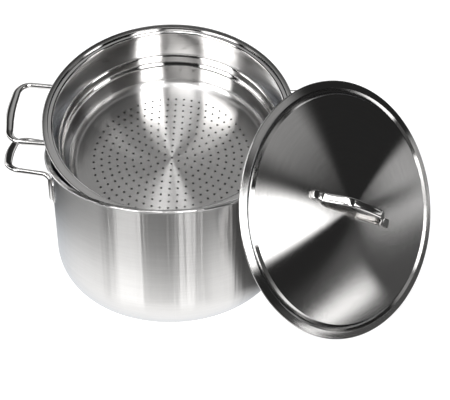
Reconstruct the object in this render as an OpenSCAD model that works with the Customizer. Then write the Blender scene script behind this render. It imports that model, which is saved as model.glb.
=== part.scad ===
// Stainless water bath canner: a stock pot, a stepped perforated insert
// propped in its mouth, and a domed lid leaning against its side.
// Millimetres, +Z up, origin at the centre of the pot's underside, front is -Y.

/* [Pot] */
// Height from the underside to the top of the rim
pot_h = 201; // [195:1:210]
// Outer radius of the straight wall
pot_r = 151.6; // [151.2:0.1:152]
// Outer radius of the rolled rim
rim_r = 158.4; // [157:0.1:160]
// Outer radius of the rounded bottom corner
pot_corner_r = 64; // [40:1:70]
// Sheet thickness of the pot
pot_wall = 1; // [0.8:0.1:1.2]
// Thickness of the aluminium core in the base
core_t = 5; // [3:0.5:7]
// Radius of the aluminium core
core_r = 88; // [80:1:92]
// Sheet thickness of the steel cap under the core
cap_t = 0.8; // [0.6:0.1:1]

/* [Insert] */
// Depth from the insert's rim to the top of its perforated floor
insert_depth = 87.6; // [86:0.1:90]
// Sheet thickness of the insert
insert_wall = 0.8; // [0.6:0.1:1]
// Inner radius of the upper wall just under the lid seat
upper_wall_r = 145.4; // [144:0.1:145.6]
// Inner radius of the lower wall under the step
lower_wall_r = 136.5; // [134:0.5:138]
// Diameter of one drain hole
hole_d = 3; // [2:0.1:4]
// Distance from one drain hole to the next
hole_pitch = 10.24; // [10:0.01:10.4]
// Rings of drain holes around the middle one
hole_rings = 10; // [4:1:10]
// Forward tilt of the insert as it sits propped in the pot
insert_tilt = 22.8; // [22:0.1:23]
// Offset of the insert to the right of the pot's axis
insert_x = 0; // [-0.5:0.1:0.5]
// Turn of the insert about its own axis
insert_turn = -2; // [-3:0.1:3]
// Height of the centre of the insert's rim above the underside
insert_z = 247.3; // [246:0.1:252]

/* [Lid] */
// Outer radius of the lid
lid_r = 161; // [160:0.5:162]
// Height of the apex above the plane of the lid's rim
lid_apex = 19; // [15:0.5:22]
// Sheet thickness of the lid
lid_wall = 0.8; // [0.6:0.1:1]
// Angle between the leaning lid and the floor
lid_lean = 64.3; // [62:0.1:70]
// Direction that the outside of the leaning lid faces, from +X towards +Y
lid_facing = -48.8; // [-52:0.1:-45]
// Position of the lid's centre to the right of the pot's axis
lid_x = 215; // [214:0.5:230]
// Position of the lid's centre behind the pot's axis
lid_y = -64; // [-75:0.5:-62]
// Turn of the lid's handle from the steepest line down the lid
handle_turn = 53; // [-90:1:90]

/* [Handles] */
// Distance between the two arms of a pot handle
pot_arm_gap = 78; // [70:1:96]
// Distance between the two arms of an insert handle
insert_arm_gap = 91; // [70:1:96]
// Diameter of the rod that the handles are bent from
rod_d = 6.6; // [5:0.1:8]
// How far a loop handle reaches past the wall
loop_reach = 53.5; // [44:0.5:60]
// Width of the flattened grip of a loop handle
grip_w = 10.5; // [8:0.5:12]
// Thickness of the flattened grip of a loop handle
grip_t = 4.6; // [4:0.2:6]
// Length of the pot handles' flattened legs down the wall
pot_leg_len = 35; // [24:1:40]
// Length of the insert handles' flattened legs down the wall
insert_leg_len = 26; // [20:1:27]
// Depth of the pot handles' arms under the rim
pot_arm_drop = 18; // [16:1:24]
// Depth of the insert handles' arms under the rim
insert_arm_drop = 8; // [6.5:0.5:10]
// Distance between the two feet of the lid handle
foot_gap = 118; // [110:1:130]
// Height of the lid handle's grip above the lid's apex
lid_grip_h = 27; // [20:1:32]

/* [Hidden] */

$fn = 96;
arc_steps = 10;
sweep_sides = 16;

bead_r = 1.7;               // rolled edges of the pot and the insert
flare_r = 3;                // outward bend under the pot's flange
base_t = cap_t + core_t;    // the pot's own floor lies on top of the base
plate_t = 1.5;              // mounting plate between a leg and the wall
plate_w = 15;
leg_t = 4;                  // flattened legs of the loop handles
leg_w = 9.5;
lid_bead_r = 1.3;

// ---- plane curves ------------------------------------------------------

function unit(v) = v / norm(v);
function side(a, b) = let (d = unit(b - a)) [-d[1], d[0]];
function arc(c, r, a0, a1, n = arc_steps) =
    [for (i = [0:n]) let (a = a0 + (a1 - a0) * i / n) c + r * [cos(a), sin(a)]];
function ease(a, b, n = arc_steps) =
    [for (i = [0:n]) let (u = i / n)
        [a[0] + (b[0] - a[0]) * (1 - cos(180 * u)) / 2, a[1] + (b[1] - a[1]) * u]];

// A path moved sideways by t, with mitred corners.
function shifted(p, t) =
    [for (i = [0:len(p) - 1])
        let (before = i == 0 ? side(p[0], p[1]) : side(p[i - 1], p[i]),
             after = i == len(p) - 1 ? before : side(p[i], p[i + 1]),
             m = before + after)
        p[i] + 2 * t * m / (m * m)];
function reversed(p) = [for (i = [len(p) - 1:-1:0]) p[i]];

// Sheet metal of revolution: a path and the same path one thickness away.
module spun(path, t) {
    other_face = [for (p = shifted(path, t)) [max(p[0], 0), p[1]]];
    rotate_extrude() polygon(concat(path, reversed(other_face)));
}

module rolled_edge(r, z, bead) {
    rotate_extrude() translate([r - bead, z - bead]) circle(bead, $fn = 24);
}

// ---- pot ---------------------------------------------------------------

pot_path = concat(
    [[0, base_t]],
    arc([pot_r - pot_corner_r, base_t + pot_corner_r], pot_corner_r, -90, 0, 20),
    arc([pot_r + flare_r, pot_h - pot_wall - flare_r], flare_r, 180, 90, 6),
    [[rim_r - bead_r, pot_h - pot_wall]]);

module pot_shell() {
    color("silver") {
        spun(pot_path, pot_wall);
        rolled_edge(rim_r, pot_h, bead_r);
    }
}

module pot_base_core() {
    color("gainsboro") translate([0, 0, cap_t]) cylinder(h = core_t, r = core_r);
}

// Pressed steel cup that closes the core in from below and from the side.
module pot_base_cap() {
    color("darkgray") difference() {
        cylinder(h = base_t, r = core_r + cap_t);
        translate([0, 0, cap_t]) cylinder(h = base_t, r = core_r);
    }
}

// ---- insert ------------------------------------------------------------

// Outside of the insert, with z measured from its rim plane.
upper_out_r = upper_wall_r + insert_wall;
lower_out_r = lower_wall_r + insert_wall;
wall_slope = 0.08;          // narrowing of the upper wall per unit of depth
seat_z = -3;                // ledge that the lid's rim drops on
ridge_top_z = -39;
ridge_low_z = -45;
step_top_z = -52;
step_low_z = -60;
floor_corner_r = 12;
floor_out_z = -insert_depth - insert_wall;

function upper_r(z) = upper_out_r + wall_slope * (z - seat_z);
function ridge(u) = 1.1 * sin(180 * u);

insert_path = concat(
    [[0, floor_out_z]],
    arc([lower_out_r - 2 - floor_corner_r, floor_out_z + floor_corner_r], floor_corner_r, -90, -6),
    ease([lower_out_r, step_low_z], [upper_r(step_top_z) - 0.8, step_top_z], 8),
    [for (i = [0:8]) let (u = i / 8, z = ridge_low_z + (ridge_top_z - ridge_low_z) * u)
        [upper_r(z) - 0.8 * (1 - u) + ridge(u), z]],
    arc([upper_r(seat_z - 3) + 2, seat_z - insert_wall - 2], 2, 180, 90, 4),
    [[rim_r - 6.5, seat_z - insert_wall], [rim_r - 6, -insert_wall], [rim_r - bead_r, -insert_wall]]);

module drain_holes() {
    for (ring = [0:hole_rings], i = [0:max(6 * ring - 1, 0)])
        rotate([0, 0, 90 + (ring > 0 ? 60 * i / ring : 0)])
            translate([ring * hole_pitch, 0, floor_out_z - 1])
                cylinder(h = insert_wall + 2, d = hole_d, $fn = 16);
}

// From the insert's own frame to the place where it sits in the pot.
module on_insert() {
    translate([insert_x, 0, insert_z]) rotate([insert_tilt, 0, 0])
        rotate([0, 0, insert_turn]) children();
}

module insert_shell() {
    color("silver") on_insert() {
        difference() {
            spun(insert_path, insert_wall);
            drain_holes();
        }
        rolled_edge(rim_r, 0, bead_r);
    }
}

// ---- swept rods --------------------------------------------------------

// One station of a sweep: [centre, flat direction, width, thickness, squareness].
// The width lies across the flat direction, the thickness along it.

function lerp(a, b, u) = a + (b - a) * u;
function blend(u) = let (v = min(1, max(0, u))) v * v * (3 - 2 * v);
function power(c, e) = sign(c) * pow(abs(c), e);

// The ring of points around one station, square to the way from before to after.
function section(st, before, after) =
    let (along = unit(after - before),
         flat = unit(st[1] - along * (st[1] * along)),
         across = cross(along, flat))
    [for (k = [0:sweep_sides - 1]) let (a = 360 * k / sweep_sides)
        st[0] + across * power(cos(a), st[4]) * st[2] / 2
              + flat * power(sin(a), st[4]) * st[3] / 2];

module swept(stations) {
    last = len(stations) - 1;
    points = [for (i = [0:last]) each section(stations[i],
        stations[max(i - 1, 0)][0], stations[min(i + 1, last)][0])];
    walls = [for (i = [0:last - 1], k = [0:sweep_sides - 1])
        let (n = (k + 1) % sweep_sides, a = i * sweep_sides)
        [a + k, a + n, a + sweep_sides + n, a + sweep_sides + k]];
    first_cap = [for (k = [sweep_sides - 1:-1:0]) k];
    last_cap = [for (k = [0:sweep_sides - 1]) last * sweep_sides + k];
    polyhedron(points, concat(walls, [first_cap], [last_cap]), convexity = 6);
}

// Points of a round corner at b between a and c.
function corner(a, b, c, r, n) =
    let (d1 = unit(a - b), d2 = unit(c - b),
         half = acos(d1 * d2) / 2,
         mid = b + unit(d1 + d2) * r / sin(half),
         v1 = b + d1 * r / tan(half) - mid,
         v2 = b + d2 * r / tan(half) - mid,
         turn = 180 - 2 * half)
    [for (i = [0:n]) let (u = i / n)
        mid + (v1 * sin(turn * (1 - u)) + v2 * sin(turn * u)) / sin(turn)];

// ---- loop handles ------------------------------------------------------

up = [0, 0, 1];
bend_r = 9;                 // bend between a leg and its arm
loop_corner_r = 18;
grip_bow_r = 140;           // bow of the grip, seen from above
arm_spread = 1.5;           // the arms open a little towards the grip

function outward(azimuth, slope) =
    [cos(azimuth) * cos(slope), sin(azimuth) * cos(slope), -sin(slope)];
function mirrored(st) = [[st[0][0], -st[0][1], st[0][2]],
                         [st[1][0], -st[1][1], st[1][2]], st[2], st[3], st[4]];

// Half of a loop handle on the +X side: leg, bend, arm, corner, half the grip.
// wall_r is the wall's radius at arm height, slope its angle from the vertical.
function half_loop(gap, leg_len, wall_r, slope, arm_z, rise) =
    let (azimuth = asin(gap / 2 / wall_r),
         n = outward(azimuth, slope),
         down = unit(-up - n * (-up * n)),
         top = [wall_r * cos(azimuth), gap / 2, arm_z] + n * (plate_t + leg_t / 2),
         foot = top + down * leg_len,
         elbow = [wall_r + loop_reach - 5, gap / 2 + arm_spread, arm_z + rise],
         middle = [wall_r + loop_reach, 0, arm_z + rise],
         bend = corner(foot, top, elbow, bend_r, 7),
         turn = corner(top, elbow, middle, loop_corner_r, 8),
         grip = corner(elbow, middle, [middle[0] - 5, -elbow[1], middle[2]], grip_bow_r, 8))
    concat(
        [[foot, n, leg_w - 3, leg_t - 1, 0.8], [foot - down, n, leg_w - 1, leg_t, 0.5],
         [foot - down * 3, n, leg_w, leg_t, 0.4]],
        [for (i = [0:7]) let (u = blend(i / 7))
            [bend[i], lerp(n, -up, i / 7),
             lerp(leg_w, rod_d, u), lerp(leg_t, rod_d, u), lerp(0.4, 1, u)]],
        [for (i = [0:8]) let (u = blend((i - 2) / 7))
            [turn[i], -up, lerp(rod_d, grip_w - 1, u), lerp(rod_d, grip_t, u), lerp(1, 0.75, u)]],
        [for (i = [0:4]) [grip[i], -up, lerp(grip_w - 1, grip_w, min(1, (i + 2) / 4)), grip_t, 0.75]]);

module loop_handle(gap, leg_len, wall_r, slope, arm_z, rise) {
    half = half_loop(gap, leg_len, wall_r, slope, arm_z, rise);
    swept(concat(half, [for (i = [len(half) - 2:-1:0]) mirrored(half[i])]));
}

// Stadium-shaped plate whose back follows the wall that it is welded to.
// y_side is 1 for the leg at +Y and -1 for the leg at -Y.
module mounting_plate(gap, leg_len, wall_r, slope, arm_z, y_side) {
    azimuth = asin(gap / 2 / wall_r);
    plate_len = leg_len - 1;
    straight = (plate_len - plate_w) / 2;
    difference() {
        rotate([0, 0, y_side * azimuth]) translate([wall_r, 0, arm_z]) rotate([0, 90 + slope, 0])
            translate([bend_r + plate_len / 2 - 3, 0, -3]) linear_extrude(plate_t + 3) {
                square([2 * straight, plate_w], center = true);
                for (x = [-straight, straight]) translate([x, 0]) circle(d = plate_w);
            }
        translate([0, 0, arm_z - 60])
            cylinder(h = 80, r1 = wall_r - 60 * tan(slope), r2 = wall_r + 20 * tan(slope), $fn = 360);
    }
}

pot_arm_z = pot_h - pot_arm_drop;
module pot_handle(turn) {
    color("whitesmoke") rotate([0, 0, turn]) loop_handle(pot_arm_gap, pot_leg_len, pot_r, 0, pot_arm_z, 9);
}
module pot_handle_right() { pot_handle(0); }
module pot_handle_left() { pot_handle(180); }
module pot_plate(turn, y_side) {
    color("lightgray") rotate([0, 0, turn])
        mounting_plate(pot_arm_gap, pot_leg_len, pot_r, 0, pot_arm_z, y_side);
}
module pot_plate_right_front() { pot_plate(0, -1); }
module pot_plate_right_rear() { pot_plate(0, 1); }
module pot_plate_left_front() { pot_plate(180, 1); }
module pot_plate_left_rear() { pot_plate(180, -1); }

insert_slope = atan(wall_slope);
insert_arm_z = -insert_arm_drop;
insert_arm_r = upper_r(insert_arm_z);
module insert_handle(turn) {
    color("whitesmoke") on_insert() rotate([0, 0, turn])
        loop_handle(insert_arm_gap, insert_leg_len, insert_arm_r, insert_slope, insert_arm_z, 4.5);
}
module insert_handle_right() { insert_handle(0); }
module insert_handle_left() { insert_handle(180); }
module insert_plate(turn, y_side) {
    color("lightgray") on_insert() rotate([0, 0, turn])
        mounting_plate(insert_arm_gap, insert_leg_len, insert_arm_r, insert_slope, insert_arm_z, y_side);
}
module insert_plate_right_front() { insert_plate(0, -1); }
module insert_plate_right_rear() { insert_plate(0, 1); }
module insert_plate_left_front() { insert_plate(180, 1); }
module insert_plate_left_rear() { insert_plate(180, -1); }

// ---- lid ---------------------------------------------------------------

// Outside of the lid, with z measured from the plane of its rim.
dome_r = 143;
dome_edge_z = 4;
dome_power = 1.35;
groove_r = 148;             // groove whose underside drops into the rim below
groove_z = -1.2;
flange_r = 151.5;

function dome_z(r) = lid_apex - (lid_apex - dome_edge_z) * pow(r / dome_r, dome_power);

lid_path = concat(
    [for (i = [0:24]) let (r = dome_r * i / 24) [r, dome_z(r)]],
    [[groove_r - 1.5, groove_z], [groove_r + 0.5, groove_z]],
    [[flange_r, lid_wall + 0.6], [lid_r - 4, lid_wall], [lid_r - lid_bead_r, lid_wall - 0.4]]);

module on_lid() {
    lid_z = (lid_r - lid_bead_r) * sin(lid_lean) + lid_bead_r + lid_bead_r * cos(lid_lean);
    translate([lid_x, lid_y, lid_z]) rotate([0, 0, lid_facing])
        rotate([0, lid_lean, 0]) children();
}

module lid_shell() {
    color("silver") on_lid() {
        spun(lid_path, -lid_wall);
        rolled_edge(lid_r, 0.3, lid_bead_r);
    }
}

pad_r = 7;
pad_t = 1.2;
foot_r = foot_gap / 2;
foot_slope = atan((dome_z(foot_r - 1) - dome_z(foot_r + 1)) / 2);
strap_w = 11;
strap_t = 3.6;

// Point over the dome, s along the handle and h above the dome's skin at the foot.
function over_foot(s, h) = [foot_r + s * cos(foot_slope) + h * sin(foot_slope), 0,
                            dome_z(foot_r) - s * sin(foot_slope) + h * cos(foot_slope)];

function half_strap() =
    let (lie = pad_t + strap_t / 2,
         toe = over_foot(6, lie),
         heel = over_foot(-9, lie),
         grip_z = lid_apex + lid_grip_h,
         shoulder = [foot_r - 30, 0, grip_z - 2],
         middle = [0, 0, grip_z + 1],
         bend = corner(toe, heel, shoulder, 8, 5),
         crest = corner(heel, shoulder, middle, 18, 7),
         grip = corner(shoulder, middle, [-shoulder[0], 0, shoulder[2]], 150, 4))
    concat(
        [[over_foot(6.5, lie), up, strap_w - 4, strap_t - 1.2, 0.8],
         [over_foot(5.5, lie), up, strap_w, strap_t, 0.5]],
        [for (p = bend) [p, up, strap_w, strap_t, 0.5]],
        [for (i = [0:7]) [crest[i], up, strap_w, lerp(strap_t, strap_t + 1.4, blend(i / 7)), 0.6]],
        [for (i = [0:2]) [grip[i], up, strap_w, strap_t + 1.4, 0.6]]);
function flipped(st) = [[-st[0][0], st[0][1], st[0][2]], st[1], st[2], st[3], st[4]];

module lid_handle() {
    half = half_strap();
    color("white") on_lid() rotate([0, 0, handle_turn])
        swept(concat(half, [for (i = [len(half) - 2:-1:0]) flipped(half[i])]));
}

// Round pad welded between a foot of the strap and the dome.
module lid_pad(turn) {
    color("lightgray") on_lid() rotate([0, 0, turn]) difference() {
        translate([foot_r, 0, dome_z(foot_r)]) rotate([0, foot_slope, 0])
            translate([0, 0, -3]) cylinder(h = pad_t + 3, r = pad_r);
        rotate_extrude() polygon(concat(lid_path, [[lid_r, -20], [0, -20]]));
    }
}
module lid_pad_right() { lid_pad(handle_turn); }
module lid_pad_left() { lid_pad(handle_turn + 180); }

pot_shell();
pot_base_core();
pot_base_cap();
pot_handle_left();
pot_handle_right();
pot_plate_left_front();
pot_plate_left_rear();
pot_plate_right_front();
pot_plate_right_rear();
insert_shell();
insert_handle_left();
insert_handle_right();
insert_plate_left_front();
insert_plate_left_rear();
insert_plate_right_front();
insert_plate_right_rear();
lid_shell();
lid_handle();
lid_pad_left();
lid_pad_right();
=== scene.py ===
# Water bath canner: a steel pot, a perforated insert propped in its mouth, and a lid leaning beside it.
# The frame is the CAD's: origin on the table under the middle of the pot, z up, camera on the -Y side.

import math

import bpy
import numpy as np
from mathutils import Matrix, Vector
from mathutils.geometry import delaunay_2d_cdt


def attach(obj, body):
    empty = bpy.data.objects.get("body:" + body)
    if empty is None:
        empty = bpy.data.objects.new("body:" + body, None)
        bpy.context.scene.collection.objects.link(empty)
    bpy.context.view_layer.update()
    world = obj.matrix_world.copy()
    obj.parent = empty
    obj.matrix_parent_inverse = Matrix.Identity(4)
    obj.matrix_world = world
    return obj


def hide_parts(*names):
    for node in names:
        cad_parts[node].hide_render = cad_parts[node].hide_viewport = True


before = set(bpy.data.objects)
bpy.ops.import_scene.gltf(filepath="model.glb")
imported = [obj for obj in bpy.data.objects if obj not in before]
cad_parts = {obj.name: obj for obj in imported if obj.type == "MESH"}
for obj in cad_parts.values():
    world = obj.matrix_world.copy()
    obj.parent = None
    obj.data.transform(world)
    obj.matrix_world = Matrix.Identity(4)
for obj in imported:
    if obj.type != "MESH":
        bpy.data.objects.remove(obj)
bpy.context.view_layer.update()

# ---------------------------------------------------------------- sizes, in millimetres, as in the CAD

POT_H, POT_R, RIM_R, POT_CORNER_R, POT_WALL = 201, 151.6, 158.4, 64, 1
CORE_T, CORE_R, CAP_T = 5, 88, 0.8
INSERT_DEPTH, INSERT_WALL, UPPER_WALL_R, LOWER_WALL_R = 87.6, 0.8, 145.4, 136.5
HOLE_D, HOLE_PITCH, HOLE_RINGS = 3, 10.24, 10
INSERT_TILT, INSERT_TURN, INSERT_Z = 22.8, -2, 247.3
LID_R, LID_APEX, LID_WALL = 161, 19, 0.8
LID_LEAN, LID_FACING, LID_X, LID_Y, HANDLE_TURN = 64.3, -48.8, 215, -64, 53
POT_ARM_GAP, INSERT_ARM_GAP, ROD_D, LOOP_REACH = 78, 91, 6.6, 53.5
GRIP_W, GRIP_T = 10.5, 4.6
POT_LEG, INSERT_LEG, POT_ARM_DROP, INSERT_ARM_DROP = 35, 26, 18, 8
FOOT_GAP, LID_GRIP_H = 118, 27
BEAD_R, FLARE_R, BASE_T = 1.7, 3, CAP_T + CORE_T
PLATE_T, PLATE_W, LEG_T, LEG_W, LID_BEAD_R = 1.5, 15, 4, 9.5, 1.3
MM = 0.001

# How finely the meshes are stepped
TURNS, CAP_TURNS = 224, 160               # round the axis of a lathe
SIDES, HOLE_SIDES = 28, 18                # round a swept rod, and round a drain hole
PLATE_STEPS, PAD_STEPS = 64, 48           # round a mounting plate, and round a lid pad
SHEET_SHARP, ROD_SHARP = 32, 50           # degrees above which an edge stays sharp
SAME_POINT, ON_AXIS = 1e-4, 1e-3          # mm: closer points are one point, smaller radii are the axis
SKIN = 0.02                               # mm by which a plate or pad stands off the sheet behind it


# ---------------------------------------------------------------- plane curves

def V(*p):
    """A point or direction."""
    return np.array(p, float)


def unit(v):
    return v / np.linalg.norm(v)


def arc(c, r, a0, a1, n):
    """Arc round c from angle a0 to a1, in degrees and n steps."""
    return [V(c[0] + r * math.cos(math.radians(a)), c[1] + r * math.sin(math.radians(a)))
            for a in np.linspace(a0, a1, n + 1)]


def ease(a, b, n):
    """S-shaped step from a to b, upright at both ends."""
    return [V(a[0] + (b[0] - a[0]) * (1 - math.cos(math.pi * u)) / 2, a[1] + (b[1] - a[1]) * u)
            for u in np.linspace(0, 1, n + 1)]


def line(a, b, n):
    return [V(*a) + (V(*b) - V(*a)) * u for u in np.linspace(0, 1, n + 1)]


def joined(*paths):
    """The paths end to end, without repeated points."""
    out = []
    for path in paths:
        for p in path:
            if not out or np.linalg.norm(p - out[-1]) > SAME_POINT:
                out.append(V(*p))
    return out


def shifted(path, t):
    """The path moved sideways by t, to the left of its direction, with mitred corners."""
    side = [V(-(b - a)[1], (b - a)[0]) / np.linalg.norm(b - a) for a, b in zip(path, path[1:])]
    out = []
    for i, p in enumerate(path):
        m = side[max(i - 1, 0)] + side[min(i, len(side) - 1)]
        out.append(p + 2 * t * m / (m @ m))
    return out


def sheet_outline(path, wall, bead, bead_z):
    """Outline of sheet metal whose outer edge is rolled into a bead: the path, round the bead, and back one
    wall thickness away. The last point of the path is under the bead's centre line."""
    end = path[-1]
    drop = (end[1] - bead_z) / bead
    start = 180 - math.degrees(math.asin(max(-1, min(1, drop))))
    near = [p for p in path if p[0] < end[0] - bead * math.cos(math.asin(drop)) - 0.05]
    ring = arc((end[0], bead_z), bead, start, 360 + 90, 18)
    back = [V(max(p[0], 0), p[1]) for p in shifted(path, wall) if p[0] < end[0] - 0.05]
    return near, ring, back[::-1]


# ---------------------------------------------------------------- meshes

def placed(*parts):
    """The product of the transforms."""
    m = Matrix.Identity(4)
    for p in parts:
        m = m @ p
    return m


def turn(deg, axis):
    return Matrix.Rotation(math.radians(deg), 4, axis)


# Where each body's own axis and rim stand at rest
AT_POT = Matrix.Identity(4)
AT_INSERT = placed(Matrix.Translation((0, 0, INSERT_Z * MM)), turn(INSERT_TILT, "X"), turn(INSERT_TURN, "Z"))
LID_Z = ((LID_R - LID_BEAD_R) * math.sin(math.radians(LID_LEAN)) + LID_BEAD_R
         + LID_BEAD_R * math.cos(math.radians(LID_LEAN)))
AT_LID = placed(Matrix.Translation((LID_X * MM, LID_Y * MM, LID_Z * MM)),
                turn(LID_FACING, "Z"), turn(LID_LEAN, "Y"))


def piece(node, verts, faces, place, body, material, slot, sharp=SHEET_SHARP):
    """Puts a mesh in the place of a CAD node. The attribute "own" keeps each point as it was turned, on the
    piece's own axis, so that the lines of the metal follow that axis."""
    mesh = bpy.data.meshes.new(node + "_steel")
    own = np.array(verts, float) * MM
    mesh.from_pydata([place @ Vector(v) for v in own], [], [tuple(f) for f in faces])
    turned = mesh.attributes.new("own", "FLOAT_VECTOR", "POINT")
    turned.data.foreach_set("vector", own.astype(np.float32).ravel())
    mesh.validate()
    mesh.shade_smooth()
    mesh.set_sharp_from_angle(angle=math.radians(sharp))
    mesh.materials.append(material)
    o = bpy.data.objects.new(node + "_steel", mesh)
    bpy.context.scene.collection.objects.link(o)
    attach(o, body)
    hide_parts(node)


def lathe(outline, turns=TURNS):
    """Solid of revolution of an outline that goes round counter-clockwise in (radius, height).
    An end of the outline on the axis closes in a point; other ends are left open."""
    verts, rows, faces = [], [], []
    angles = [2 * math.pi * k / turns for k in range(turns)]
    for r, z in outline:
        if r < ON_AXIS:
            rows.append([len(verts)] * turns)
            verts.append((0, 0, z))
        else:
            rows.append(list(range(len(verts), len(verts) + turns)))
            verts += [(r * math.cos(a), r * math.sin(a), z) for a in angles]
    for lower, upper in zip(rows, rows[1:]):
        for k in range(turns):
            n = (k + 1) % turns
            ring = [lower[k], lower[n], upper[n], upper[k]]
            faces.append([v for i, v in enumerate(ring) if v != ring[i - 1]])
    return verts, faces, rows


def swept(stations, sides=SIDES):
    """Rod along stations (centre, flat direction, width, thickness, squareness), closed at both ends."""
    n = len(stations)
    verts, faces = [], []
    for i, (c, flat, w, t, e) in enumerate(stations):
        along = unit(stations[min(i + 1, n - 1)][0] - stations[max(i - 1, 0)][0])
        flat = unit(flat - along * (flat @ along))
        across = np.cross(along, flat)
        for k in range(sides):
            a = 2 * math.pi * k / sides
            ca, sa = math.cos(a), math.sin(a)
            verts.append(c + across * math.copysign(abs(ca) ** e, ca) * w / 2
                         + flat * math.copysign(abs(sa) ** e, sa) * t / 2)
    for i in range(n - 1):
        for k in range(sides):
            a, b = i * sides + k, i * sides + (k + 1) % sides
            faces.append([a, b, b + sides, a + sides])
    faces.append(list(range(sides))[::-1])
    faces.append([(n - 1) * sides + k for k in range(sides)])
    return verts, faces


def corner(a, b, c, r, n):
    """Arc of radius r that rounds the corner at b on the way from a to c."""
    d1, d2 = unit(a - b), unit(c - b)
    half = math.acos(d1 @ d2) / 2
    mid = b + unit(d1 + d2) * r / math.sin(half)
    v1, v2 = b + d1 * r / math.tan(half) - mid, b + d2 * r / math.tan(half) - mid
    swing = math.pi - 2 * half
    return [mid + (v1 * math.sin(swing * (1 - u)) + v2 * math.sin(swing * u)) / math.sin(swing)
            for u in np.linspace(0, 1, n + 1)]


def blend(u):
    """Smooth step from 0 to 1."""
    v = min(1, max(0, u))
    return v * v * (3 - 2 * v)


def lerp(a, b, u):
    return a + (b - a) * u


# ---------------------------------------------------------------- materials

class Nodes:
    """A node tree under construction, with a shader already joined to its output."""
    def __init__(self, name, shader="ShaderNodeBsdfPrincipled", **settings):
        self.mat = bpy.data.materials.new(name)
        self.mat.use_nodes = True
        self.tree = self.mat.node_tree
        self.tree.nodes.clear()
        self.out = self.add("ShaderNodeOutputMaterial")
        self.bsdf = self.add(shader, **settings)
        self.link(self.bsdf.outputs[0], self.out.inputs[0])

    def add(self, kind, **settings):
        n = self.tree.nodes.new(kind)
        for k, v in settings.items():
            setattr(n, k, v)
        return n

    def link(self, a, b):
        self.tree.links.new(a, b)

    def put(self, value, socket):
        """Links another node's output, or sets a number."""
        if hasattr(value, "is_linked"):
            self.link(value, socket)
        else:
            socket.default_value = value

    def math(self, op, a, b=0.0, clamp=False):
        n = self.add("ShaderNodeMath", operation=op, use_clamp=clamp)
        self.put(a, n.inputs[0])
        self.put(b, n.inputs[1])
        return n.outputs[0]

    def span(self, value, a, b, c, d):
        """value from a to b becomes c to d."""
        n = self.add("ShaderNodeMapRange")
        for socket, v in zip(n.inputs[:5], (value, a, b, c, d)):
            self.put(v, socket)
        return n.outputs[0]

    def to_camera(self, mirrored, seen):
        """For the stage only, not for the object: one value in reflections and another on the picture."""
        n = self.add("ShaderNodeMix", data_type="FLOAT")
        self.link(self.add("ShaderNodeLightPath").outputs["Is Camera Ray"], n.inputs[0])
        self.put(mirrored, n.inputs[2])
        self.put(seen, n.inputs[3])
        return n.outputs[0]

    def noise(self, vector, w=0.0, detail=2.0, rough=0.5, scale=1.0):
        n = self.add("ShaderNodeTexNoise", noise_dimensions="4D")
        self.put(vector, n.inputs["Vector"])
        self.put(w, n.inputs["W"])
        n.inputs["Scale"].default_value = scale
        n.inputs["Detail"].default_value = detail
        n.inputs["Roughness"].default_value = rough
        return n.outputs[0]

    def polar(self):
        """Radius, height, and a unit vector out from the axis, in the frame that the piece was turned in."""
        coord = self.add("ShaderNodeAttribute", attribute_name="own").outputs["Vector"]
        flat = self.add("ShaderNodeVectorMath", operation="MULTIPLY")
        self.link(coord, flat.inputs[0])
        flat.inputs[1].default_value = (1, 1, 0)
        size = self.add("ShaderNodeVectorMath", operation="LENGTH")
        self.link(flat.outputs[0], size.inputs[0])
        way = self.add("ShaderNodeVectorMath", operation="NORMALIZE")
        self.link(flat.outputs[0], way.inputs[0])
        z = self.add("ShaderNodeSeparateXYZ")
        self.link(coord, z.inputs[0])
        return size.outputs["Value"], z.outputs[2], way.outputs[0]

    def round_the_axis(self, r, z, way, fine, wander):
        """Noise that changes fast with radius and height and slowly round the axis."""
        split = self.add("ShaderNodeSeparateXYZ")
        self.link(way, split.inputs[0])
        v = self.add("ShaderNodeCombineXYZ")
        self.link(self.math("MULTIPLY", r, fine), v.inputs[0])
        self.link(self.math("MULTIPLY", split.outputs[0], wander), v.inputs[1])
        self.link(self.math("MULTIPLY", split.outputs[1], wander), v.inputs[2])
        return v.outputs[0], self.math("MULTIPLY", z, fine)


MID_NOISE = (0.3, 0.7)                    # where nearly all of a noise's values lie
# Noise steps per metre across the lines, and how much they change on the way round the axis
FINE_LINES, WIDE_RINGS = (2600, 5), (420, 2.2)
STREAKS_ROUND, STREAKS_UP = 9, 1.2        # how often the waviness of the sheet changes
SMEAR_SCALE, PIT_SCALE, PIT_SHARE, SMEAR_H = 90, 900, 0.15, 0.00004    # smears and pits of buffed rod
ACROSS = 0.25                             # quarter turn of the scatter, from along the lines to across them


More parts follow.
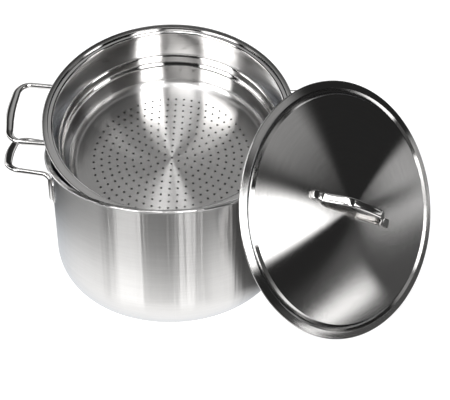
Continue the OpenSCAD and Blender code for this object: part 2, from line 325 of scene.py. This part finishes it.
def spun_metal(name, place, tone, broad_rough, keen_rough, keen,
               lines=0.00002, streak=0.0, zone=None, grain=0.04):
    """Sheet metal polished on a lathe. Fine lines run round the axis, so light spreads across them: widely in
    the lines, and less on the polished crests between them. keen is the share of the crests. lines and
    streak are bump heights in metres. zone is (low, high, share): above high, in mm on the piece's own
    axis, the roughness is that share of what it is below low."""
    s = Nodes(name, "ShaderNodeMixShader")
    r, z, way = s.polar()
    s.bsdf.inputs[0].default_value = keen
    around = s.add("ShaderNodeVectorMath", operation="CROSS_PRODUCT")
    around.inputs[0].default_value = (0, 0, 1)
    s.link(way, around.inputs[1])
    leaned = s.add("ShaderNodeMapping", vector_type="VECTOR")
    s.link(around.outputs[0], leaned.inputs["Vector"])
    leaned.inputs["Rotation"].default_value = place.to_euler()
    tangent = s.add("ShaderNodeVectorTransform", vector_type="VECTOR",
                    convert_from="OBJECT", convert_to="WORLD")
    s.link(leaned.outputs[0], tangent.inputs[0])
    v, w = s.round_the_axis(r, z, way, *FINE_LINES)
    fine = s.noise(v, w, 3, 0.65)
    v, w = s.round_the_axis(r, z, way, *WIDE_RINGS)
    wide = s.noise(v, w, 2, 0.5)
    # colour: the lines and a few wider rings differ a little in brightness
    ring_grain = grain * 0.7
    shade = s.math("ADD", s.span(fine, *MID_NOISE, -grain, grain),
                   s.span(wide, *MID_NOISE, -ring_grain, ring_grain))
    tint = s.add("ShaderNodeVectorMath", operation="SCALE")
    tint.inputs[0].default_value = tone
    s.link(s.math("ADD", shade, 1.0), tint.inputs["Scale"])
    # bump: the lines, and the slow waviness of pressed sheet
    height = s.math("MULTIPLY", fine, lines)
    if streak:
        split = s.add("ShaderNodeSeparateXYZ")
        s.link(way, split.inputs[0])
        v = s.add("ShaderNodeCombineXYZ")
        s.link(s.math("MULTIPLY", split.outputs[0], STREAKS_ROUND), v.inputs[0])
        s.link(s.math("MULTIPLY", split.outputs[1], STREAKS_ROUND), v.inputs[1])
        s.link(s.math("MULTIPLY", z, STREAKS_UP), v.inputs[2])
        height = s.math("ADD", height, s.math("MULTIPLY", s.noise(v.outputs[0], 0.0, 3, 0.5), streak))
    bump = s.add("ShaderNodeBump")
    bump.inputs["Distance"].default_value = 1.0
    s.link(height, bump.inputs["Height"])
    for socket, rough in ((1, broad_rough), (2, keen_rough)):
        b = s.add("ShaderNodeBsdfMetallic", distribution="BECKMANN", fresnel_type="F82")
        b.inputs["Anisotropy"].default_value = 1.0
        b.inputs["Rotation"].default_value = ACROSS
        s.link(tangent.outputs[0], b.inputs["Tangent"])
        s.link(tint.outputs[0], b.inputs["Base Color"])
        s.link(bump.outputs[0], b.inputs["Normal"])
        if zone:
            low, high, share = zone
            rough = s.math("MULTIPLY", s.span(z, low * MM, high * MM, 1, share), rough)
        s.link(s.math("ADD", s.span(fine, *MID_NOISE, -0.02, 0.02), rough, True), b.inputs["Roughness"])
        s.link(b.outputs[0], s.bsdf.inputs[socket])
    return s.mat


def polished_metal(name, tone, rough, mottled=0.02):
    """Buffed rod and plate: close to a mirror, with faint smears and pits."""
    s = Nodes(name)
    coord = s.add("ShaderNodeTexCoord").outputs["Object"]
    smear = s.noise(coord, 0.0, 4, 0.6, SMEAR_SCALE)
    pits = s.noise(coord, 3.0, 2, 0.5, PIT_SCALE)
    b = s.bsdf
    b.inputs["Metallic"].default_value = 1.0
    tint = s.add("ShaderNodeVectorMath", operation="SCALE")
    tint.inputs[0].default_value = tone
    s.link(s.span(smear, *MID_NOISE, 1 - mottled, 1 + mottled), tint.inputs["Scale"])
    s.link(tint.outputs[0], b.inputs["Base Color"])
    s.link(s.span(smear, *MID_NOISE, rough * 0.8, rough * 1.25), b.inputs["Roughness"])
    bump = s.add("ShaderNodeBump")
    bump.inputs["Distance"].default_value = 1.0
    height = s.math("ADD", smear, s.math("MULTIPLY", pits, PIT_SHARE))
    s.link(s.math("MULTIPLY", height, SMEAR_H), bump.inputs["Height"])
    s.link(bump.outputs[0], b.inputs["Normal"])
    return s.mat


STEEL = (0.74, 0.73, 0.72)
POT_STEEL = spun_metal("pot_brushed_steel", AT_POT, STEEL, 0.37, 0.18, 0.48, streak=0.0012)
# the insert's floor is ground, and its wall above the corner is nearly polished
INSERT_STEEL = spun_metal("insert_steel", AT_INSERT, STEEL, 0.38, 0.16, 0.45, lines=0.000006,
                          zone=(-84, -76, 0.4))
LID_STEEL = spun_metal("lid_steel", AT_LID, (0.66, 0.65, 0.64), 0.23, 0.13, 0.87, lines=0.0000016)
POLISHED = polished_metal("polished_steel", (0.78, 0.77, 0.76), 0.1)
PLATE_STEEL = polished_metal("plate_steel", (0.68, 0.67, 0.66), 0.28)
ALUMINIUM = polished_metal("aluminium_core", (0.82, 0.82, 0.83), 0.42, 0.05)

# ---------------------------------------------------------------- pot

pot_path = joined(
    line((0, BASE_T), (POT_R - POT_CORNER_R, BASE_T), 6),
    arc((POT_R - POT_CORNER_R, BASE_T + POT_CORNER_R), POT_CORNER_R, -90, 0, 40),
    line((POT_R, BASE_T + POT_CORNER_R), (POT_R, POT_H - POT_WALL - FLARE_R), 16),
    arc((POT_R + FLARE_R, POT_H - POT_WALL - FLARE_R), FLARE_R, 180, 90, 8),
    line((POT_R + FLARE_R, POT_H - POT_WALL), (RIM_R - BEAD_R, POT_H - POT_WALL), 2))
near, ring, back = sheet_outline(pot_path, POT_WALL, BEAD_R, POT_H - BEAD_R)
verts, faces, _ = lathe(joined(near, ring, back))
piece("pot_shell", verts, faces, AT_POT, "pot", POT_STEEL, "brushed_steel")

CAP_R, CAP_EDGE_R, CAP_INSIDE_R = CORE_R + CAP_T, 1.2, CORE_R + 0.05
cap_outline = joined(
    [(0, 0)], arc((CAP_R - CAP_EDGE_R, CAP_EDGE_R), CAP_EDGE_R, -90, 0, 6),
    [(CAP_R, BASE_T), (CAP_INSIDE_R, BASE_T), (CAP_INSIDE_R, CAP_T), (0, CAP_T)])
verts, faces, _ = lathe(cap_outline, CAP_TURNS)
piece("pot_base_cap", verts, faces, AT_POT, "pot", POT_STEEL, "brushed_steel")
# the core is shut in between the pot and the cap, so it keeps its CAD mesh
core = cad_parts["pot_base_core"]
core.data.materials.clear()
core.data.materials.append(ALUMINIUM)

# ---------------------------------------------------------------- insert

UPPER_OUT, LOWER_OUT, WALL_SLOPE, SEAT_Z = UPPER_WALL_R + INSERT_WALL, LOWER_WALL_R + INSERT_WALL, 0.08, -3
RIDGE_TOP, RIDGE_LOW, STEP_TOP, STEP_LOW, FLOOR_CORNER = -39, -45, -52, -60, 12
FLOOR_OUT_Z = -INSERT_DEPTH - INSERT_WALL
FLOOR_EDGE_R = 112


def upper_r(z):
    """Outside radius of the insert's tapered upper wall."""
    return UPPER_OUT + WALL_SLOPE * (z - SEAT_Z)


FLAT_R = LOWER_OUT - 2 - FLOOR_CORNER
floor_corner = arc((FLAT_R, FLOOR_OUT_Z + FLOOR_CORNER), FLOOR_CORNER, -90, -6, 14)
insert_path = joined(
    line((FLOOR_EDGE_R, FLOOR_OUT_Z), (FLAT_R, FLOOR_OUT_Z), 3),
    floor_corner,
    line(floor_corner[-1], (LOWER_OUT, STEP_LOW), 2),
    ease((LOWER_OUT, STEP_LOW), (upper_r(STEP_TOP) - 0.8, STEP_TOP), 14),
    [V(upper_r(z) - 0.8 * (1 - u) + 1.1 * math.sin(math.pi * u), z)
     for u, z in ((u, lerp(RIDGE_LOW, RIDGE_TOP, u)) for u in np.linspace(0, 1, 15))],
    arc((upper_r(SEAT_Z - 3) + 2, SEAT_Z - INSERT_WALL - 2), 2, 180, 90, 8),
    [(RIM_R - 6.5, SEAT_Z - INSERT_WALL), (RIM_R - 6, -INSERT_WALL), (RIM_R - BEAD_R, -INSERT_WALL)])
near, ring, back = sheet_outline(insert_path, INSERT_WALL, BEAD_R, -BEAD_R)
verts, faces, rows = lathe(joined(near, ring, back))


def drilled_disc(edge, z_low, z_high, lower, upper, verts, faces):
    """Fills the disc inside the rows lower and upper of a lathe, with the drain holes cut through."""
    outline = [(edge * math.cos(2 * math.pi * k / TURNS), edge * math.sin(2 * math.pi * k / TURNS))
               for k in range(TURNS)]
    centres = [(0, 0)]
    for ring in range(1, HOLE_RINGS + 1):
        for i in range(6 * ring):
            a = math.radians(90 + 60 * i / ring)
            centres.append((ring * HOLE_PITCH * math.cos(a), ring * HOLE_PITCH * math.sin(a)))
    points, edges = list(outline), [(k, (k + 1) % TURNS) for k in range(TURNS)]
    for cx, cy in centres:
        first = len(points)
        points += [(cx + HOLE_D / 2 * math.cos(2 * math.pi * k / HOLE_SIDES),
                    cy + HOLE_D / 2 * math.sin(2 * math.pi * k / HOLE_SIDES)) for k in range(HOLE_SIDES)]
        edges += [(first + k, first + (k + 1) % HOLE_SIDES) for k in range(HOLE_SIDES)]
    out, _, tris, *_ = delaunay_2d_cdt([Vector(p) for p in points], edges, [], 1, 1e-5)
    assert len(out) == len(points)
    mid = np.array(centres)
    low = list(lower) + list(range(len(verts), len(verts) + len(points) - TURNS))
    verts += [(x, y, z_low) for x, y in points[TURNS:]]
    high = list(upper) + list(range(len(verts), len(verts) + len(points) - TURNS))
    verts += [(x, y, z_high) for x, y in points[TURNS:]]
    for t in tris:
        c = np.mean([points[i] for i in t], 0)
        if np.min(np.hypot(*(mid - c).T)) < HOLE_D / 2 * 0.97:
            continue
        (ax, ay), (bx, by), (cx, cy) = (points[i] for i in t)
        up = (bx - ax) * (cy - ay) - (by - ay) * (cx - ax) > 0
        t = list(t) if up else list(t)[::-1]
        faces.append([high[i] for i in t])
        faces.append([low[i] for i in t[::-1]])
    for h in range(len(centres)):
        first = TURNS + h * HOLE_SIDES
        for k in range(HOLE_SIDES):
            a, b = first + k, first + (k + 1) % HOLE_SIDES
            faces.append([low[b], low[a], high[a], high[b]])


drilled_disc(FLOOR_EDGE_R, FLOOR_OUT_Z, FLOOR_OUT_Z + INSERT_WALL, rows[0], rows[-1], verts, faces)
piece("insert_shell", verts, faces, AT_INSERT, "insert", INSERT_STEEL, "satin_steel")

# ---------------------------------------------------------------- loop handles

UP = V(0, 0, 1)
BEND_R, LOOP_CORNER_R, GRIP_BOW_R, ARM_SPREAD = 9, 18, 140, 1.5


def half_loop(gap, leg_len, wall_r, slope, arm_z, rise):
    """Stations of a loop handle from the foot of one leg to the middle of the grip. The wall that the leg
    lies on leans inward by slope degrees on its way down."""
    az, sl = math.asin(gap / 2 / wall_r), math.radians(slope)
    n = V(math.cos(az) * math.cos(sl), math.sin(az) * math.cos(sl), -math.sin(sl))
    down = unit(-UP + n * (UP @ n))
    top = V(wall_r * math.cos(az), gap / 2, arm_z) + n * (PLATE_T + LEG_T / 2)
    foot = top + down * leg_len
    elbow = V(wall_r + LOOP_REACH - 5, gap / 2 + ARM_SPREAD, arm_z + rise)
    middle = V(wall_r + LOOP_REACH, 0, arm_z + rise)
    bend = corner(foot, top, elbow, BEND_R, 14)
    swing = corner(top, elbow, middle, LOOP_CORNER_R, 18)
    grip = corner(elbow, middle, V(middle[0] - 5, -elbow[1], middle[2]), GRIP_BOW_R, 16)
    out = [(foot + down * 0.2, n, LEG_W - 5, LEG_T - 2.4, 0.9), (foot, n, LEG_W - 3, LEG_T - 1, 0.8),
           (foot - down, n, LEG_W - 1, LEG_T, 0.55), (foot - down * 3, n, LEG_W, LEG_T, 0.42)]
    for i, p in enumerate(bend):
        u = i / 14
        k = blend(u)
        out.append((p, lerp(n, -UP, u), lerp(LEG_W, ROD_D, k), lerp(LEG_T, ROD_D, k), lerp(0.42, 1, k)))
    for f in (0.33, 0.67):
        out.append((lerp(bend[-1], swing[0], f), -UP, ROD_D, ROD_D, 1))
    for i, p in enumerate(swing):
        u = blend((i / 18 * 8 - 2) / 7)
        out.append((p, -UP, lerp(ROD_D, GRIP_W - 1, u), lerp(ROD_D, GRIP_T, u), lerp(1, 0.72, u)))
    for i in range(9):
        u = min(1, (i / 2 + 2) / 4)
        out.append((grip[i], -UP, lerp(GRIP_W - 1, GRIP_W, u), GRIP_T, 0.72))
    return out


def mirror(stations, axis):
    """The other half of a handle, in the order that continues the first."""
    flip = V(*[-1 if k == axis else 1 for k in range(3)])
    return [(s[0] * flip, s[1] * flip, s[2], s[3], s[4]) for s in stations[-2::-1]]


def mounting_plate(gap, leg_len, wall_r, slope, arm_z, y_side):
    """Stadium-shaped plate with a softened front edge, whose back follows the wall. y_side is its side."""
    n_steps = PLATE_STEPS
    az, sl = math.asin(gap / 2 / wall_r) * y_side, math.radians(slope)
    n = V(math.cos(az) * math.cos(sl), math.sin(az) * math.cos(sl), -math.sin(sl))
    across = V(-math.sin(az), math.cos(az), 0)
    down = unit(-UP + n * (UP @ n))
    length = leg_len - 1
    mid = V(wall_r * math.cos(az), wall_r * math.sin(az), arm_z) + down * (BEND_R + length / 2 - 3)
    straight = (length - PLATE_W) / 2
    rows = []
    for inset, h in ((0.9, PLATE_T), (0.35, PLATE_T - 0.08), (0, PLATE_T - 0.4), (0, None)):
        ring = []
        for k in range(n_steps):
            a = 2 * math.pi * (k + 0.5) / n_steps
            x = (PLATE_W / 2 - inset) * math.cos(a) + math.copysign(straight, math.cos(a))
            y = (PLATE_W / 2 - inset) * math.sin(a)
            depth = h if h is not None else -y * y / 2 / wall_r + SKIN
            ring.append(mid + down * x + across * y + n * depth)
        rows.append(ring)
    verts = [p for ring in rows for p in ring]
    faces = []
    for i in range(3):
        for k in range(n_steps):
            a, b = i * n_steps + k, i * n_steps + (k + 1) % n_steps
            faces.append([a, b, b + n_steps, a + n_steps])
    faces.append(list(range(n_steps))[::-1])
    faces.append([3 * n_steps + k for k in range(n_steps)])
    return verts, faces


def set_of_handles(body, place, gap, leg_len, wall_r, slope, arm_z, rise):
    """Two loop handles and their four mounting plates."""
    half = half_loop(gap, leg_len, wall_r, slope, arm_z, rise)
    loop = swept(half + mirror(half, 1))
    for side, about in (("right", 0), ("left", 180)):
        here = placed(place, turn(about, "Z"))
        piece(f"{body}_handle_{side}", *loop, here, body, POLISHED, "polished_steel", ROD_SHARP)
        for end, y_side in (("front", -1), ("rear", 1)):
            flipped = y_side if side == "right" else -y_side
            piece(f"{body}_plate_{side}_{end}", *mounting_plate(gap, leg_len, wall_r, slope, arm_z, flipped),
                  here, body, PLATE_STEEL, "polished_steel")


set_of_handles("pot", AT_POT, POT_ARM_GAP, POT_LEG, POT_R, 0, POT_H - POT_ARM_DROP, 9)
set_of_handles("insert", AT_INSERT, INSERT_ARM_GAP, INSERT_LEG, upper_r(-INSERT_ARM_DROP),
               math.degrees(math.atan(WALL_SLOPE)), -INSERT_ARM_DROP, 4.5)

# ---------------------------------------------------------------- lid

DOME_R, DOME_EDGE_Z, DOME_POWER, GROOVE_R, GROOVE_Z, FLANGE_R = 143, 4, 1.35, 148, -1.2, 151.5
PAD_R, PAD_T, STRAP_W, STRAP_T = 7, 1.2, 11, 3.6
FOOT_R = FOOT_GAP / 2


def dome_z(r):
    """Height of the lid's dome over its rim."""
    return LID_APEX - (LID_APEX - DOME_EDGE_Z) * (r / DOME_R) ** DOME_POWER


lid_path = joined(
    [V(r, dome_z(r)) for r in DOME_R * np.linspace(0, 1, 49)],
    [(GROOVE_R - 1.5, GROOVE_Z), (GROOVE_R + 0.5, GROOVE_Z)],
    [(FLANGE_R, LID_WALL + 0.6), (LID_R - 4, LID_WALL), (LID_R - LID_BEAD_R, LID_WALL - 0.4)])
under = [V(max(p[0], 0), p[1]) for p in shifted(lid_path, -LID_WALL)]
bead = arc((LID_R - LID_BEAD_R, 0.3 - LID_BEAD_R), LID_BEAD_R, -140, 95, 16)
outline = joined([p for p in under if p[0] < LID_R - 3.2], bead,
                 [p for p in lid_path[::-1] if p[0] < LID_R - 1.8])
verts, faces, _ = lathe(outline)
piece("lid_shell", verts, faces, AT_LID, "lid", LID_STEEL, "lid_steel")

FOOT_SLOPE = math.atan((dome_z(FOOT_R - 1) - dome_z(FOOT_R + 1)) / 2)


def over_foot(s, h):
    """A point at distance s down the dome from the middle of the handle's foot, and h above the dome."""
    c, t = math.cos(FOOT_SLOPE), math.sin(FOOT_SLOPE)
    return V(FOOT_R + s * c + h * t, 0, dome_z(FOOT_R) - s * t + h * c)


lie = PAD_T + STRAP_T / 2
toe, heel = over_foot(6, lie), over_foot(-9, lie)
grip_z = LID_APEX + LID_GRIP_H
shoulder, middle = V(FOOT_R - 30, 0, grip_z - 2), V(0, 0, grip_z + 1)
bend = corner(toe, heel, shoulder, 8, 12)
crest = corner(heel, shoulder, middle, 18, 14)
grip = corner(shoulder, middle, V(-shoulder[0], 0, shoulder[2]), 150, 12)
GRIP_STRAP_T = STRAP_T + 1.4
half = [(over_foot(6.7, lie), UP, STRAP_W - 7, STRAP_T - 2.2, 0.9),
        (over_foot(6.5, lie), UP, STRAP_W - 4, STRAP_T - 1.2, 0.8),
        (over_foot(5.5, lie), UP, STRAP_W, STRAP_T, 0.5)]
half += [(p, UP, STRAP_W, STRAP_T, 0.5) for p in bend]
half += [(lerp(bend[-1], crest[0], f), UP, STRAP_W, STRAP_T, 0.55) for f in (0.33, 0.67)]
half += [(p, UP, STRAP_W, lerp(STRAP_T, GRIP_STRAP_T, blend(i / 14)), 0.6) for i, p in enumerate(crest)]
half += [(p, UP, STRAP_W, GRIP_STRAP_T, 0.6) for p in grip[:7]]
piece("lid_handle", *swept(half + mirror(half, 0)), placed(AT_LID, turn(HANDLE_TURN, "Z")), "lid", POLISHED,
      "polished_steel", ROD_SHARP)


def pad():
    """Round pad with a softened edge, whose back follows the dome."""
    c, t = math.cos(FOOT_SLOPE), math.sin(FOOT_SLOPE)
    along, out = V(c, 0, -t), V(t, 0, c)
    mid = V(FOOT_R, 0, dome_z(FOOT_R))
    n_steps = PAD_STEPS
    verts = []
    for r, h in ((PAD_R - 0.5, PAD_T), (PAD_R - 0.15, PAD_T - 0.15), (PAD_R, PAD_T - 0.5), (PAD_R, None)):
        for k in range(n_steps):
            a = 2 * math.pi * k / n_steps
            p = mid + along * r * math.cos(a) + V(0, 1, 0) * r * math.sin(a)
            if h is not None:
                verts.append(p + out * h)
                continue
            for _ in range(4):      # slides the point along the pad's axis onto the dome
                p = p + out * (dome_z(math.hypot(p[0], p[1])) + SKIN - p[2]) / c
            verts.append(p)
    faces = [[i * n_steps + k, (i + 1) * n_steps + k,
              (i + 1) * n_steps + (k + 1) % n_steps, i * n_steps + (k + 1) % n_steps]
             for i in range(3) for k in range(n_steps)]
    faces.append(list(range(n_steps)))
    faces.append([3 * n_steps + k for k in range(n_steps)][::-1])
    return verts, faces


for side, about in (("right", 0), ("left", 180)):
    piece(f"lid_pad_{side}", *pad(), placed(AT_LID, turn(HANDLE_TURN + about, "Z")), "lid", PLATE_STEEL,
          "polished_steel")

# ---------------------------------------------------------------- studio

scene = bpy.context.scene
scene.view_settings.view_transform = "Standard"
scene.view_settings.look = "None"
scene.view_settings.exposure = 0
scene.view_settings.gamma = 1

# Azimuth and elevation of the middle, width, height, strength, softness of the edge. Angles are in
# degrees. Azimuth 0 is the camera's side and 90 is +X.
SOFTBOXES = (
    (-39, 20, 26, 40, 5.4, 5),      # key, left of the camera
    (16, 27, 17, 50, 6.0, 5),       # key, right of the camera
    (-9, 44, 20, 24, 1.6, 6),       # gap between the two keys
    (-21, 64, 26, 24, 5.0, 5),      # overhead, left
    (12, 64, 20, 20, 3.2, 5),       # overhead, right
    (61, 14, 15, 10, 5.2, 4),       # strip on the right
    (-94, 8, 64, 16, 2.8, 6),       # low card on the left
    (76, 26, 16, 9, 0.45, 6),       # dim box above the strip
    (99, 3, 6, 6, 0.9, 2),          # low card behind the lid
    (178, 46, 30, 16, 0.9, 8),      # back light
    (153, 24, 30, 36, 0.7, 8),      # behind, on the right
    (-135, 24, 38, 36, 0.9, 8),     # behind, on the left
    (0, 80, 360, 24, 0.38, 6),      # ceiling
)
ROOM = 0.025             # what the steel mirrors of the room between the boxes
BACKDROP = 1.0           # the room to the camera
# Patches of painted light on the floor, glowing only in the steel's reflections: x and y of the middle,
# radius where it starts to fade and where it has gone, glow. A negative glow paints shade.
PAINTED_FLOOR_LIGHT = (
    (-0.05, -0.03, 0.18, 0.36, 1.2),    # round the pot
    (0.57, -0.28, 0.13, 0.17, 1.9),     # in front of the lid, for the highlight at its foot
    (2.4, 0.38, 0.5, 0.9, 1.4),         # far to the right, for the highlight along the lid's right rim
    (0.19, -0.25, 0.04, 0.12, 0.8),     # in front, between the pot and the lid
    (0.26, -0.06, 0.06, 0.18, -1.3),    # painted shade behind the lid's foot, a negative glow
)
FLOOR_DIM = 0.08         # what the steel mirrors of the floor between the patches
FLOOR_GLOW = 0.8         # the floor to the camera, with the light that falls on it on top
FLOOR_WHITE, FLOOR_BLACK = 0.5, 0.02     # how much falling light it returns: to the camera, and to the steel
FLOOR_HALF = 9

cam_data = bpy.data.cameras.new("camera")
cam_data.sensor_width = 36
cam_data.lens = 85.8
cam_data.shift_x, cam_data.shift_y = -0.0011, 0.0011
cam = bpy.data.objects.new("camera", cam_data)
cam.location = (0.0614, -1.2034, 0.8427)
cam.rotation_euler = (math.radians(59.05), 0, math.radians(-0.42))
scene.collection.objects.link(cam)
scene.camera = cam

# The floor is white to the camera, with a faint shade under the pot and the lid. What the steel mirrors of
# it is dim, apart from the patches of painted light and the painted shade behind the lid's foot.
floor_mesh = bpy.data.meshes.new("floor")
floor_mesh.from_pydata([(x * FLOOR_HALF, y * FLOOR_HALF, 0) for x, y in ((-1, -1), (1, -1), (1, 1), (-1, 1))],
                       [], [(0, 1, 2, 3)])
floor = bpy.data.objects.new("floor", floor_mesh)
scene.collection.objects.link(floor)
f = Nodes("floor")
f.bsdf.inputs["Roughness"].default_value = 0.9
f.bsdf.inputs["Specular IOR Level"].default_value = 0.0
f.bsdf.inputs["Emission Color"].default_value = (1, 1, 1, 1)
where = f.add("ShaderNodeTexCoord").outputs["Object"]
mirrored_floor = FLOOR_DIM
# each patch adds painted light, or with a negative glow painted shade, to what the steel mirrors of the floor
for x, y, inner, outer, glow in PAINTED_FLOOR_LIGHT:
    gap = f.add("ShaderNodeVectorMath", operation="DISTANCE")
    f.link(where, gap.inputs[0])
    gap.inputs[1].default_value = (x, y, 0)
    lit = f.add("ShaderNodeMapRange", interpolation_type="SMOOTHSTEP")
    for socket, v in zip(lit.inputs[:5], (gap.outputs["Value"], inner, outer, glow, 0)):
        f.put(v, socket)
    mirrored_floor = f.math("ADD", lit.outputs[0], mirrored_floor)
mirrored_floor = f.math("MAXIMUM", mirrored_floor, FLOOR_DIM)
f.link(f.to_camera(mirrored_floor, FLOOR_GLOW), f.bsdf.inputs["Emission Strength"])
f.link(f.to_camera(FLOOR_BLACK, FLOOR_WHITE), f.bsdf.inputs["Base Color"])
floor_mesh.materials.append(f.mat)


class Studio(Nodes):
    """A dark room with softboxes, each a soft-edged patch of the world's sky."""
    def __init__(self):
        self.world = bpy.data.worlds.new("studio")
        scene.world = self.world
        self.world.use_nodes = True
        self.tree = self.world.node_tree
        self.way = self.add("ShaderNodeTexCoord").outputs["Generated"]

    def edge(self, value, half, soft):
        """1 where value is within half of 0, falling to 0 over soft."""
        n = self.add("ShaderNodeMapRange", interpolation_type="SMOOTHSTEP")
        ends = (self.math("ABSOLUTE", value), half + soft / 2, half - soft / 2, 0, 1)
        for socket, v in zip(n.inputs[:5], ends):
            self.put(v, socket)
        return n.outputs[0]

    def softbox(self, azimuth, height, width, tall, strength, soft):
        """Its glow in each direction of the sky."""
        spin = self.add("ShaderNodeVectorRotate", rotation_type="Z_AXIS")
        self.link(self.way, spin.inputs["Vector"])
        spin.inputs["Angle"].default_value = math.radians(90 - azimuth)
        xyz = self.add("ShaderNodeSeparateXYZ")
        self.link(spin.outputs[0], xyz.inputs[0])
        az = self.math("ARCTAN2", xyz.outputs[1], xyz.outputs[0])
        el = self.math("SUBTRACT", self.math("ARCSINE", xyz.outputs[2]), math.radians(height))
        inside = self.math("MULTIPLY", self.edge(az, math.radians(width / 2), math.radians(soft)),
                           self.edge(el, math.radians(tall / 2), math.radians(soft)))
        return self.math("MULTIPLY", inside, strength)


studio = Studio()
light = ROOM
for box in SOFTBOXES:
    light = studio.math("ADD", studio.softbox(*box), light)
background = studio.tree.nodes["Background"]
background.inputs[0].default_value = (1, 1, 1, 1)
studio.link(studio.to_camera(light, BACKDROP), background.inputs[1])
